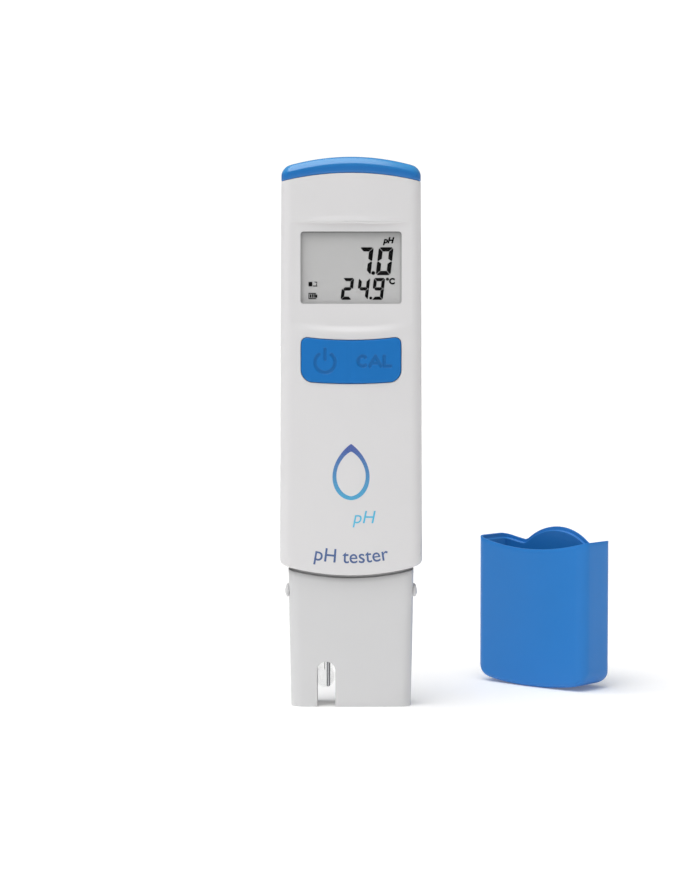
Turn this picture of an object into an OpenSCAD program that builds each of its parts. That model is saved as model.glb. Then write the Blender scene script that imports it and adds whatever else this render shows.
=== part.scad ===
// Pocket water tester: a flat pen with a display, two keys, a glass electrode
// and a slip-on cap. Millimetres. The pen stands on the foot of its probe, at
// the origin. Its front faces -Y and +Z is up. The cap stands beside it.

/* [Body] */
// Height from the probe's foot to the crown of the top trim
total_h = 157; // [150:1:165]
// Width of the body at its bottom edge
body_w = 40.8; // [39.6:0.2:42]
// Width of the body at its top
body_top_w = 39.6; // [38.8:0.2:40]
// Depth of the body from front to back
body_d = 16.4; // [16.2:0.1:17]
// Radius of the body's long edges
edge_r = 3.4; // [2.6:0.2:4]
// Radius of the gentle crown across the front and the back
crown_r = 204; // [180:1:260]
// Thickness of the body's walls
wall = 1.8; // [1.6:0.1:2]
// Lowest point of the body's curved bottom edge
body_low_z = 38; // [36:0.1:38.4]
// Radius of the body's curved bottom edge
low_edge_r = 72; // [56:1:80]

/* [Top trim] */
// Radius of the arched top
top_r = 66; // [62:1:74]
// Crown of the joint line between the trim and the body
seam_z = 152.3; // [152:0.1:153.5]
// Radius of that joint line
seam_r = 79; // [74:1:90]

/* [Display] */
// Height of the middle of the window
window_z = 125.6; // [124:0.2:127]
// Width of the window
window_w = 28.7; // [27:0.1:29]
// Height of the window
window_h = 20.5; // [19:0.1:21]

/* [Keys] */
// Height of the middle of the key pad
keys_z = 99.4; // [98:0.2:100]
// Width of the key pad
keys_w = 28.4; // [26:0.2:29]
// Height of the key pad
keys_h = 13.3; // [12.5:0.1:13.6]
// How far the keys stand proud of the front
keys_proud = 0.35; // [0.2:0.05:0.5]
// How far a key can be pressed
key_travel = 0.7; // [0.5:0.05:0.7]

/* [Battery] */
// Height of the battery's centre
battery_z = 95; // [93:0.5:97]
// Radius of the coin cell
cell_r = 10; // [10:0.1:10]
// Radius of the bore that the battery cover closes
cover_bore_r = 12.2; // [12.2:0.1:12.3]
// How far the cover backs out of its bore while it is turned
cover_lift = 3; // [2:0.5:3]

/* [Probe] */
// Width of the probe where it leaves the body
probe_w = 35.1; // [34.8:0.1:35.4]
// Width of the probe at its foot
probe_foot_w = 34.4; // [33.8:0.1:34.8]
// Depth of the probe
probe_d = 12.4; // [12:0.1:12.4]
// Width of the arched slots in front of and behind the glass bulb
slot_w = 5.2; // [4.8:0.1:5.4]
// Distance of the slot from the middle of the probe
slot_x = -7.1; // [-7.4:0.1:-6.8]
// Height of the top of the slot's arch
slot_z = 13; // [12:0.2:13]

/* [Cap] */
// Distance of the standing cap to the right of the pen
cap_x = 58.5; // [50:0.5:90]
// Distance of the standing cap behind the pen
cap_y = 37; // [30:0.5:90]
// Turn of the standing cap
cap_turn = -41; // [-60:1:60]
// Height of the middle of the cap's front rim
cap_h = 41.7; // [40:0.1:43]
// Width of the cap
cap_w = 40.4; // [39.6:0.2:41]
// Thickness of the cap's walls
cap_wall = 1.6; // [1.4:0.1:1.7]

/* [Hidden] */
$fn = 96;

far = 200;
eps = 0.05;
front_y = -body_d / 2;
back_y = body_d / 2;
top_arc_z = total_h - top_r;
low_arc_z = body_low_z + low_edge_r;
seam_arc_z = seam_z - seam_r;

// Planes across the inside, from front to back
pane_y = -6.7;
pane_t = 0.9;
lcd_t = 1.8;
board_y = -1.6;
board_t = 1;
board_back_y = board_y + board_t;

// Circuit board and its screws
board_w = 33;
board_low_z = 63;
board_top_z = 146;
screw_x = 13.6;
screw_zs = [67, 143];
screw_r = 0.95;
screw_hole_r = 1.05;

// Key pad
keys_low_z = keys_z - keys_h / 2;
keys_top_z = keys_z + keys_h / 2;
keys_top_r = 101;
keys_low_r = 153;
keys_gap = 0.2;
keys_cap_back_y = -6.3;
keys_web_y = -5.5;
keys_web_t = 0.8;
neck_w = 12.2;
neck_h = 11.2;
neck_x = 7.2;
pill_t = 0.8;
pill_y = board_y - key_travel - 0.1 - pill_t;

// Battery and cover
cell_t = 3.2;
cell_y = 0.9;
cover_flange_r = 13.6;
cover_flange_y = 7.2;
cover_barrel_r = 12;
cover_nose_r = 11;
cover_nose_y = 3.4;
cover_cup_r = 10.4;
cover_cup_y = 4.4;
lug_r = 11.9;
lug_w = 1.6;
tab_w = 2;
tab_y = 4.4;
tab_t = 0.6;
collar_r = 13.6;
oring_y = 6;
oring_r = 0.45;
oring_track_r = 11.7;

// Probe
probe_top_z = 60;
probe_edge_r = 3.2;
probe_wall = 1.6;
probe_crown_r = 280;
probe_gap = 0.15;
seal_z = 45;
seal_h = 2;
flange_z = 52;
plug_z = 14;
plug_h = 4;
top_seal_z = 55;
bulb_x = -7.6;
bulb_y = 0.9;
bulb_z = 7.8;
bulb_r = 3.2;
stem_r = 2.4;
needle_x = -6.5;
needle_y = -3.2;
needle_r = 0.5;
needle_tip_z = 5.4;
junction_x = 12.4;
junction_r = 1.2;
wire_x = 4;
bump_z = 33;
bump_r = 1.8;
bump_out = 1;

// Cap
cap_base_r = 100;
cap_flat = 0.15;
cap_tab_r = 17;
cap_tab_top = 47.4;
cap_seat_drop = cap_h - body_low_z + 0.2;
tab_gap = 0.3;

// ---- shared shapes ----

// A flat outline drawn in X and Z, made solid from y0 to y1
module upright(y0, y1) {
    translate([0, y1, 0]) rotate([90, 0, 0]) linear_extrude(y1 - y0) children();
}

// A box given by its middle in X and Z and its two faces in Y
module block(x, z, w, h, y0, y1) {
    translate([x - w / 2, y0, z - h / 2]) cube([w, y1 - y0, h]);
}

// A cylinder along Y between two faces
module disc(x, z, r, y0, y1) {
    translate([x, y1, z]) rotate([90, 0, 0]) cylinder(r = r, h = y1 - y0);
}

module rounded_rectangle(w, d, r) {
    square([w - 2 * r, d], center = true);
    square([w, d - 2 * r], center = true);
    for (sx = [-1, 1], sy = [-1, 1])
        translate([sx * (w / 2 - r), sy * (d / 2 - r)]) circle(r = r);
}

// Plan of the body or the probe: round edges, with a crowned front and back
module plan(w, d, r, crown) {
    intersection() {
        rounded_rectangle(w, d, r);
        translate([0, crown - d / 2]) circle(r = crown, $fn = 200);
        translate([0, d / 2 - crown]) circle(r = crown, $fn = 200);
    }
}

// Front view of the body, inset all round by i
module body_outline(i) {
    intersection() {
        polygon([
            [-body_w / 2 + i, body_low_z - 1], [body_w / 2 - i, body_low_z - 1],
            [body_top_w / 2 - i, total_h], [-body_top_w / 2 + i, total_h]
        ]);
        translate([0, top_arc_z]) circle(r = top_r - i, $fn = 200);
        union() {
            translate([0, low_arc_z]) circle(r = low_edge_r - i, $fn = 200);
            translate([-far / 2, low_arc_z]) square([far, far]);
        }
    }
}

module body_solid(i) {
    intersection() {
        linear_extrude(far) plan(body_w - 2 * i, body_d - 2 * i, edge_r - i, crown_r - i);
        upright(-far / 2, far / 2) body_outline(i);
    }
}

// Everything below the arched joint line, raised by g
module below_seam(g = 0) {
    upright(-far / 2, far / 2) union() {
        translate([0, seam_arc_z]) circle(r = seam_r + g, $fn = 200);
        translate([-far / 2, seam_arc_z - far]) square([far, far]);
    }
}

module half_space(side) {
    translate([-far / 2, side < 0 ? -far : 0, -far / 2]) cube([far, far, 2 * far]);
}

module probe_solid(i, z0, z1) {
    slope = (probe_w - probe_foot_w) / 2 / body_low_z;
    intersection() {
        translate([0, 0, z0]) linear_extrude(z1 - z0)
            plan(probe_w - 2 * i, probe_d - 2 * i, probe_edge_r - i, probe_crown_r - i);
        upright(-far / 2, far / 2) polygon([
            [-probe_foot_w / 2 + i, 0], [probe_foot_w / 2 - i, 0],
            [probe_w / 2 - i, body_low_z], [probe_w / 2 - i, far],
            [-probe_w / 2 + i, far], [-probe_w / 2 + i, body_low_z]
        ]);
    }
}

// The opening in the floor of the body that the probe passes through
module probe_opening() {
    probe_solid(-probe_gap, 0, probe_top_z + 2);
}

module keys_outline(g) {
    difference() {
        intersection() {
            translate([-keys_w / 2 - g, keys_low_z - g])
                square([keys_w + 2 * g, keys_h + 2 * g]);
            translate([0, keys_low_z + keys_low_r]) circle(r = keys_low_r + g, $fn = 200);
        }
        translate([0, keys_top_z - 1 + keys_top_r]) circle(r = keys_top_r - g, $fn = 200);
    }
}

// ---- housing ----

module gasket_shape() {
    difference() {
        intersection() {
            difference() {
                body_solid(0.5);
                body_solid(1.1);
            }
            below_seam(-0.4);
            block(0, far / 2, far, far, -0.4, 0.4);
        }
        probe_opening();
    }
}

module half_shell(side) {
    difference() {
        intersection() {
            body_solid(0);
            below_seam();
            half_space(side);
        }
        body_solid(wall);
        probe_opening();
        gasket_shape();
    }
}

module front_housing() {
    color([0.86, 0.85, 0.86]) difference() {
        union() {
            half_shell(-1);
            // Seat around the window
            block(0, window_z, 34, 26, -7.4, pane_y);
            // Bosses that carry the circuit board
            for (sx = [-1, 1], z = screw_zs) disc(sx * screw_x, z, 2.2, -7, board_y);
        }
        block(0, window_z, window_w, window_h, -far, 0);
        block(0, window_z, 34.4, 26.4, pane_y, 0);
        upright(-far, 0) keys_outline(keys_gap);
        for (sx = [-1, 1], z = screw_zs) disc(sx * screw_x, z, screw_hole_r, -5.6, 0);
    }
}

module rear_housing() {
    color([0.84, 0.83, 0.84]) difference() {
        union() {
            half_shell(1);
            disc(0, battery_z, collar_r, 4.4, 7.2);
        }
        // Bore for the battery cover, and the recess for its flange
        difference() {
            disc(0, battery_z, cover_bore_r, 0, far);
            // Two tabs that hold the cover's lugs
            intersection() {
                disc(0, battery_z, cover_bore_r + eps, tab_y, tab_y + tab_t);
                block(0, battery_z, tab_w, far, 0, far);
            }
        }
        disc(0, battery_z, cover_nose_r + 0.15, 0, far);
        disc(0, battery_z, cover_flange_r + 0.2, cover_flange_y, far);
        // Round notch that the cap's thumb tab slides into
        disc(0, cap_tab_top - cap_tab_r - cap_seat_drop, cap_tab_r + tab_gap, 6.4, far);
    }
}

module top_trim() {
    lip_out = wall + 0.1;
    lip_in = wall + 1.3;
    lip_z = 147.5;
    color([0.15, 0.43, 0.69]) union() {
        difference() {
            body_solid(0);
            below_seam();
        }
        intersection() {
            difference() {
                body_solid(lip_out);
                body_solid(lip_in);
            }
            below_seam(eps);
            translate([-far / 2, -far / 2, lip_z]) cube(far);
        }
    }
}

module housing_gasket() {
    color([0.2, 0.2, 0.22]) gasket_shape();
}

// ---- display ----

module display_window() {
    plateau = 0.2;
    color([0.75, 0.76, 0.76, 0.5]) union() {
        block(0, window_z, 32, 24, pane_y, pane_y + pane_t);
        block(0, window_z, window_w - 2 * plateau, window_h - 2 * plateau, -7.3, pane_y);
    }
}

module lcd_panel() {
    y = pane_y + pane_t;
    color([0.71, 0.72, 0.71]) block(0, window_z, 30, 22.6, y, y + lcd_t);
}

module lcd_frame() {
    color([0.9, 0.9, 0.88]) difference() {
        block(0, window_z, 34, 26, pane_y, board_y);
        block(0, window_z, 32.2, 24.2, -far, 0);
    }
}

module lcd_contact_strips() {
    y = pane_y + pane_t + lcd_t;
    color([0.25, 0.25, 0.27]) for (s = [-1, 1])
        block(0, window_z + s * 10, 27, 1.6, y, board_y);
}

// ---- electronics ----

module circuit_board() {
    board_h = board_top_z - board_low_z;
    color([0.1, 0.36, 0.22]) difference() {
        block(0, board_low_z + board_h / 2, board_w, board_h, board_y, board_back_y);
        for (sx = [-1, 1], z = screw_zs) disc(sx * screw_x, z, screw_hole_r, -far, far);
    }
}

module microcontroller() {
    color([0.12, 0.12, 0.13]) block(0, 125, 9, 9, board_back_y, board_back_y + 1.2);
}

module input_amplifier() {
    color([0.12, 0.12, 0.13]) block(-7, 72, 5, 4, board_back_y, board_back_y + 1.4);
}

module clock_crystal() {
    color([0.75, 0.75, 0.78]) block(10, 126, 2.4, 7, board_back_y, board_back_y + 1.8);
}

module capacitors() {
    color([0.7, 0.55, 0.35]) for (x = [-11, -8, 8, 11])
        block(x, 115, 1.2, 2, board_back_y, board_back_y + 0.9);
}

module board_screws() {
    color([0.72, 0.72, 0.74]) for (sx = [-1, 1], z = screw_zs) difference() {
        union() {
            disc(sx * screw_x, z, screw_r, -5.4, board_back_y);
            disc(sx * screw_x, z, 1.9, board_back_y, board_back_y + 1.3);
        }
        block(sx * screw_x, z, 2.6, 0.5, board_back_y + 0.7, far);
        block(sx * screw_x, z, 0.5, 2.6, board_back_y + 0.7, far);
    }
}

// ---- keys ----

module keypad_web() {
    color([0.11, 0.41, 0.68]) difference() {
        block(0, keys_z, 32, 16.4, keys_web_y, keys_web_y + keys_web_t);
        for (s = [-1, 1]) block(s * neck_x, keys_z, neck_w + 0.6, neck_h + 0.6, -far, 0);
    }
}

// One half of the pad: side is -1 for the left key and 1 for the right key
module key(side) {
    split = 0.15;
    union() {
        intersection() {
            upright(-far, keys_cap_back_y) keys_outline(0);
            body_solid(-keys_proud);
            translate([side < 0 ? -far - split : split, -far, 0]) cube([far, 2 * far, far]);
        }
        block(side * neck_x, keys_z, neck_w, neck_h, keys_cap_back_y - eps, pill_y);
    }
}

module key_power() {
    color([0.11, 0.43, 0.71]) key(-1);
}

module key_cal() {
    color([0.11, 0.43, 0.71]) key(1);
}

module pill(side) {
    color([0.08, 0.08, 0.08]) disc(side * neck_x, keys_z, 2.5, pill_y, pill_y + pill_t);
}

module power_contact_pill() {
    pill(-1);
}

module cal_contact_pill() {
    pill(1);
}

// ---- battery ----

module battery_holder() {
    color([0.15, 0.15, 0.16]) difference() {
        disc(0, battery_z, 11, board_back_y, 3);
        disc(0, battery_z, cell_r + 0.2, 0.3, far);
        disc(0, battery_z, 1.5, -far, far);
        block(10, battery_z, 4, 6.4, -far, far);
    }
}

module battery_contact_negative() {
    color([0.8, 0.76, 0.6]) union() {
        disc(0, battery_z, 1.2, board_back_y, 0.4);
        disc(0, battery_z, 4, 0.3, cell_y);
    }
}

module battery_contact_positive() {
    color([0.8, 0.76, 0.6]) union() {
        block(cell_r + 0.15, battery_z, 0.3, 6, board_back_y, 3);
        block(cell_r + 0.8, battery_z, 1.6, 6, board_back_y, board_back_y + 0.3);
    }
}

module coin_cell() {
    rim = 0.4;
    color([0.78, 0.78, 0.8]) union() {
        disc(0, battery_z, cell_r, cell_y + rim, cell_y + cell_t);
        disc(0, battery_z, cell_r - 1.2, cell_y, cell_y + rim + eps);
    }
}

module battery_cover() {
    groove_w = 1.1;
    color([0.8, 0.79, 0.8]) difference() {
        union() {
            disc(0, battery_z, cover_flange_r, cover_flange_y, back_y + 0.3);
            disc(0, battery_z, cover_barrel_r, 5.2, cover_flange_y + eps);
            disc(0, battery_z, cover_nose_r, cover_nose_y, 5.3);
            // Lugs that lie under the housing's tabs when the cover is closed
            intersection() {
                disc(0, battery_z, lug_r, cover_nose_y, cover_nose_y + 0.6);
                block(0, battery_z, lug_w, far, 0, far);
            }
        }
        disc(0, battery_z, cover_cup_r, 0, cover_cup_y);
        // Groove for the sealing ring
        difference() {
            disc(0, battery_z, far, oring_y - groove_w / 2, oring_y + groove_w / 2);
            disc(0, battery_z, oring_track_r - oring_r - 0.05, 0, far);
        }
        // Slot for a coin
        block(0, battery_z, 16, 1.8, back_y - 0.6, far);
    }
}

module battery_cover_seal() {
    color([0.12, 0.12, 0.12]) translate([0, oring_y, battery_z]) rotate([90, 0, 0])
        rotate_extrude() translate([oring_track_r, 0]) circle(r = oring_r, $fn = 32);
}

// ---- probe ----

module probe_sleeve() {
    color([0.8, 0.8, 0.81]) difference() {
        union() {
            probe_solid(0, 0, probe_top_z);
            // Flange that is trapped inside the body
            translate([0, 0, flange_z]) linear_extrude(1.6)
                plan(body_w - 2 * wall - 0.6, body_d - 2 * wall - 0.2, edge_r - wall, crown_r);
            // Bumps that the cap snaps over
            for (s = [-1, 1])
                disc(s * (probe_w / 2 - 0.1 + bump_out - bump_r), bump_z, bump_r, -2.5, 2.5);
        }
        probe_solid(probe_wall, -1, probe_top_z + 1);
        // Groove for the seal
        difference() {
            translate([-far / 2, -far / 2, seal_z]) cube([far, far, seal_h]);
            probe_solid(0.7, seal_z - 1, seal_z + seal_h + 1);
        }
        // Arched slot through the front and the back wall
        upright(-far, far) translate([slot_x, 0]) union() {
            translate([-slot_w / 2, -1]) square([slot_w, slot_z - slot_w / 2 + 1]);
            translate([0, slot_z - slot_w / 2]) circle(r = slot_w / 2);
        }
    }
}

module probe_seal() {
    color([0.12, 0.12, 0.12]) difference() {
        translate([0, 0, seal_z]) linear_extrude(seal_h)
            plan(body_w - 2 * wall - 0.3, body_d - 2 * wall, edge_r - wall, crown_r - wall);
        probe_solid(0.7, seal_z - 1, seal_z + seal_h + 1);
    }
}

module electrode_plug() {
    color([0.88, 0.88, 0.87]) difference() {
        probe_solid(probe_wall, plug_z, plug_z + plug_h);
        translate([bulb_x, bulb_y, 0]) cylinder(r = stem_r, h = far);
        translate([needle_x, needle_y, 0]) cylinder(r = needle_r, h = far);
        translate([junction_x, 0, 0]) cylinder(r = junction_r + 0.05, h = far);
    }
}

module electrode_top_seal() {
    color([0.85, 0.85, 0.84]) difference() {
        probe_solid(probe_wall, top_seal_z, probe_top_z);
        translate([bulb_x, bulb_y, 0]) cylinder(r = stem_r, h = far);
        translate([needle_x, needle_y, 0]) cylinder(r = needle_r, h = far);
        translate([wire_x, 0, 0]) cylinder(r = 0.4, h = far);
    }
}

module glass_stem() {
    stem_low_z = bulb_z + sqrt(bulb_r * bulb_r - stem_r * stem_r);
    color([0.8, 0.88, 0.9, 0.5]) translate([bulb_x, bulb_y, stem_low_z]) difference() {
        cylinder(r = stem_r, h = probe_top_z - stem_low_z);
        translate([0, 0, -1]) cylinder(r = stem_r - 0.6, h = far);
    }
}

module glass_bulb() {
    opening_z = sqrt(bulb_r * bulb_r - stem_r * stem_r);
    color([0.8, 0.88, 0.9, 0.5]) translate([bulb_x, bulb_y, bulb_z]) difference() {
        sphere(r = bulb_r, $fn = 48);
        sphere(r = bulb_r - 0.4, $fn = 48);
        translate([-far / 2, -far / 2, opening_z]) cube(far);
    }
}

module measuring_wire() {
    color([0.7, 0.7, 0.72]) translate([bulb_x, bulb_y, bulb_z - 1])
        cylinder(r = 0.4, h = probe_top_z - bulb_z + 1, $fn = 24);
}

module reference_wire() {
    color([0.7, 0.7, 0.72]) translate([wire_x, 0, 22])
        cylinder(r = 0.4, h = probe_top_z - 22, $fn = 24);
}

module temperature_needle() {
    color([0.75, 0.75, 0.77]) translate([needle_x, needle_y, needle_tip_z]) difference() {
        union() {
            translate([0, 0, needle_r]) sphere(r = needle_r, $fn = 24);
            translate([0, 0, needle_r])
                cylinder(r = needle_r, h = probe_top_z - needle_tip_z - needle_r, $fn = 24);
        }
        translate([0, 0, needle_r]) cylinder(r = 0.3, h = far, $fn = 24);
    }
}

module thermistor() {
    color([0.1, 0.1, 0.1]) translate([needle_x, needle_y, needle_tip_z + 0.6])
        cylinder(r = 0.28, h = 2, $fn = 24);
}

module cloth_junction() {
    color([0.93, 0.92, 0.88]) translate([junction_x, 0, 10])
        cylinder(r = junction_r, h = 34, $fn = 32);
}

module sensor_leads() {
    lead_y = board_back_y + 0.4;
    color([0.75, 0.2, 0.18]) for (x = [bulb_x, needle_x + 3, wire_x])
        translate([x, lead_y, probe_top_z]) cylinder(r = 0.4, h = 8, $fn = 24);
}

// ---- cap ----

module cap_solid(i) {
    intersection() {
        linear_extrude(far) plan(cap_w - 2 * i, body_d - 2 * i, edge_r - i, crown_r - i);
        upright(-far / 2, far / 2) union() {
            translate([0, cap_base_r - cap_flat]) circle(r = cap_base_r - i, $fn = 200);
            translate([-far / 2, cap_base_r]) square(far);
        }
    }
}

module protective_cap() {
    rim_arc_z = cap_h + low_edge_r;
    color([0.2, 0.47, 0.74]) translate([cap_x, cap_y, 0]) rotate([0, 0, cap_turn])
        difference() {
            intersection() {
                cap_solid(0);
                union() {
                    upright(-far / 2, far / 2) difference() {
                        translate([-far / 2, 0]) square([far, cap_h + 4]);
                        translate([0, rim_arc_z]) circle(r = low_edge_r, $fn = 200);
                    }
                    // Thumb tab on the back wall
                    disc(0, cap_tab_top - cap_tab_r, cap_tab_r, back_y - cap_wall - 1, far);
                }
            }
            cap_solid(cap_wall);
        }
}

front_housing();
rear_housing();
top_trim();
housing_gasket();
display_window();
lcd_panel();
lcd_frame();
lcd_contact_strips();
circuit_board();
microcontroller();
input_amplifier();
clock_crystal();
capacitors();
board_screws();
keypad_web();
key_power();
key_cal();
power_contact_pill();
cal_contact_pill();
battery_holder();
battery_contact_negative();
battery_contact_positive();
coin_cell();
battery_cover();
battery_cover_seal();
probe_sleeve();
probe_seal();
electrode_plug();
electrode_top_seal();
glass_stem();
glass_bulb();
measuring_wire();
reference_wire();
temperature_needle();
thermistor();
cloth_junction();
sensor_leads();
protective_cap();
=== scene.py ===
# %% [markdown]
# # A pocket water tester, finished in Blender
#
# The tester is a flat plastic pen with a display, a two-key rubber pad, a probe
# sleeve and a slip-on cap. The CAD model already gives every part its size and
# its place, so this lesson only makes the surfaces: soft moulded edges, clear
# and rubbery finishes, and the small shapes that catch the light.
# The first step loads the fixed frame. Nothing that comes from it is moved.

# %% Load the fixed frame
import math

import bmesh
import bpy
from mathutils import Matrix, Vector


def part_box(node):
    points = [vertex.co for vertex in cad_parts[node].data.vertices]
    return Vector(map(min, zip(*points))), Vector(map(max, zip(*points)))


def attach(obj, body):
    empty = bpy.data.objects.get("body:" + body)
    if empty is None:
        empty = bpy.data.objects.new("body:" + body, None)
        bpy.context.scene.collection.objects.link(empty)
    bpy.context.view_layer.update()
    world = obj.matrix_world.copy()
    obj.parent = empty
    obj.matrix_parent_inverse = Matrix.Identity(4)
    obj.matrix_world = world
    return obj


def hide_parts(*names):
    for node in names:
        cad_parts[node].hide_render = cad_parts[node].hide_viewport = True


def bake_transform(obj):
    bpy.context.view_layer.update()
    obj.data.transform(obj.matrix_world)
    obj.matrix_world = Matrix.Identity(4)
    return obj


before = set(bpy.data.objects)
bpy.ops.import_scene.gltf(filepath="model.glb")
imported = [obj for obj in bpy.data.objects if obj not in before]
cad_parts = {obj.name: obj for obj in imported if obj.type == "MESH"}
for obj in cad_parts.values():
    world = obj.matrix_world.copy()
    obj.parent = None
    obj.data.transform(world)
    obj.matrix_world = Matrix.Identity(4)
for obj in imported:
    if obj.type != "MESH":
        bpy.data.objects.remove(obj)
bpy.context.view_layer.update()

scene = bpy.context.scene

# %% [markdown]
# Moulded parts are easiest to think about in millimetres, and Blender works in
# metres. Shapes are built in millimetres here and scaled down once, at the end,
# when a piece is handed over. Main sizes are read from the frame's boxes.

# %% Main sizes, in millimetres
MM = 0.001


def box_mm(node):
    """The lowest and highest corner of a CAD node, in millimetres."""
    low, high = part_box(node)
    return low / MM, high / MM


body_low, body_high = box_mm("front_housing")
sleeve_low, sleeve_high = box_mm("probe_sleeve")
cover_low, cover_high = box_mm("battery_cover")
cap_low, cap_high = box_mm("protective_cap")

HALF_WIDTH = body_high.x
HALF_DEPTH = -body_low.y
LOW_EDGE = body_low.z
SEAM = body_high.z
TOP = box_mm("top_trim")[1].z
PANE_FRONT = box_mm("display_window")[0].y
print("body", round(2 * HALF_WIDTH, 1), "x", round(2 * HALF_DEPTH, 1), "mm, top at", round(TOP, 1))

# Shape values that the boxes don't hold
TOP_HALF_WIDTH = HALF_WIDTH - 0.6
EDGE_RADIUS = 3.4
CROWN_RADIUS = 204
LOW_EDGE_RISE = 2.95     # how far the bottom edge rises from the middle to a side
SEAM_FALL = 2.5          # how far the trim's joint falls from the middle to a side
TOP_FALL = 3.0           # how far the arched top falls
OPENING_HALF = 14.35     # half the width of the openings for the display and keys
WINDOW_LOW, WINDOW_HIGH = 115.35, 135.85


def smooth(t):
    """A soft step from 0 to 1."""
    t = min(max(t, 0.0), 1.0)
    return t * t * (3 - 2 * t)


def mix(a, b, t):
    return a + (b - a) * t


def steps(start, stop, size):
    """Even steps from start up to, but without, stop, each about the size given."""
    count = max(1, round(abs(stop - start) / size))
    return [mix(start, stop, k / count) for k in range(count)]


def half_width(z):
    """The body is a little narrower at the top than at the bottom."""
    return mix(HALF_WIDTH, TOP_HALF_WIDTH, (z - LOW_EDGE) / (TOP - LOW_EDGE))


def quarter(distance, radius):
    """How far a round edge has fallen away at this distance inside its start."""
    d = min(max(distance, 0.0), radius)
    return radius - math.sqrt(radius * radius - (radius - d) ** 2)


# %% [markdown]
# ## From a grid to a moulded surface
#
# A shell like this could be cut from a block with booleans, but their edges
# are hard to soften. Here every shell starts as one flat grid, and each point
# is moved to its place on the body. The grid's lines are laid along the edges
# of the openings, so an opening is only a patch of faces to delete, and its
# rim can be bevelled cleanly. Two marks on each point remember its column and
# its row.

# %% Grid helpers
def sheet(columns, rows, place):
    """A grid of quads whose points are moved by place(column, row)."""
    bm = bmesh.new()
    bmesh.ops.create_grid(bm, x_segments=columns - 1, y_segments=rows - 1, size=1)
    column = bm.verts.layers.int.new("column")
    row = bm.verts.layers.int.new("row")
    for v in bm.verts:
        v[column] = round((v.co.x + 1) / 2 * (columns - 1))
        v[row] = round((v.co.y + 1) / 2 * (rows - 1))
        v.co = place(v[column], v[row])
    return bm


def cut_out(bm, first_column, last_column, first_row, last_row):
    """Deletes the patch of faces between two columns and two rows."""
    column = bm.verts.layers.int["column"]
    row = bm.verts.layers.int["row"]
    patch = [
        f for f in bm.faces
        if all(first_column <= v[column] <= last_column
               and first_row <= v[row] <= last_row for v in f.verts)
    ]
    bmesh.ops.delete(bm, geom=patch, context="FACES")
    return len(patch)


def face_outwards(bm):
    """Turns a surface's faces away from its middle."""
    bmesh.ops.recalc_face_normals(bm, faces=bm.faces[:])
    middle = sum((f.calc_center_median() for f in bm.faces), Vector()) / len(bm.faces)
    outward = sum(
        f.normal.dot(f.calc_center_median() - middle) * f.calc_area() for f in bm.faces
    )
    if outward < 0:
        bmesh.ops.reverse_faces(bm, faces=bm.faces[:])
    bm.normal_update()


def grow(bm):
    """Extrudes a surface, keeps the old faces, and gives back the new points."""
    grown = bmesh.ops.extrude_face_region(bm, geom=bm.faces[:], use_keep_orig=True)
    return [v for v in grown["geom"] if isinstance(v, bmesh.types.BMVert)]


def give_wall(bm, thickness):
    """Turns an open surface into a wall that grows inwards."""
    face_outwards(bm)
    out = bm.verts.layers.float_vector.new("out")
    for v in bm.verts:
        v[out] = v.normal
    for v in grow(bm):
        v.co -= v[out] * thickness
    bmesh.ops.recalc_face_normals(bm, faces=bm.faces[:])


def round_corner(x, z, box, radii, reach):
    """Moves a grid point near a corner of the box onto that corner's round.

    box is (left, right, bottom, top) and radii is (bottom, top). A square ring
    of points becomes a round one, and the move fades out over the reach."""
    left, right, bottom, top = box
    for radius, low in ((radii[0], True), (radii[1], False)):
        side = 1 if x > (left + right) / 2 else -1
        centre_x = right - radius if side > 0 else left + radius
        centre_z = bottom + radius if low else top - radius
        dx = (x - centre_x) * side
        dz = (centre_z - z) if low else (z - centre_z)
        if dx > 0 and dz > 0:
            square = max(dx, dz)
            share = square / math.hypot(dx, dz)
            share = mix(share, 1, smooth((square - radius) / reach))
            return centre_x + side * dx * share, centre_z + (-1 if low else 1) * dz * share
    return x, z


# %% Softening edges and handing a piece over
def soften(bm, width, sharper_than=50, segments=3):
    """Rounds every edge where two faces meet more sharply than the angle given."""
    sharp = [
        e for e in bm.edges
        if e.is_manifold and e.calc_face_angle() > math.radians(sharper_than)
    ]
    bmesh.ops.bevel(bm, geom=sharp, offset=width, offset_type="OFFSET", affect="EDGES",
                    segments=segments, profile=0.5, material=-1, clamp_overlap=True)


def join(bm, other):
    """Adds another bmesh to this one."""
    carrier = bpy.data.meshes.new("carrier")
    other.to_mesh(carrier)
    other.free()
    bm.from_mesh(carrier)
    bpy.data.meshes.remove(carrier)


def hand_over(bm, name, body, material, replaces=()):
    """Scales a shape to metres, makes it an object and gives it body and finish."""
    bmesh.ops.scale(bm, vec=(MM, MM, MM), verts=bm.verts[:])
    mesh = bpy.data.meshes.new(name)
    for f in bm.faces:
        f.smooth = True
    bm.to_mesh(mesh)
    bm.free()
    mesh.set_sharp_from_angle(angle=math.radians(40))
    piece = bpy.data.objects.new(name, mesh)
    scene.collection.objects.link(piece)
    mesh.materials.append(material)
    if body:
        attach(piece, body)
    if replaces:
        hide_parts(*replaces)
    print("made", name, "with", len(mesh.polygons), "faces")
    return piece


# %% [markdown]
# ## Shader maths in plain Python
#
# A shader node tree is hard to read. The small class below wraps one socket
# and lets ordinary arithmetic add the Math nodes, so a mask can be written as
# 1 - mask. Every other node comes from one method of the paint pot.

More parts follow.
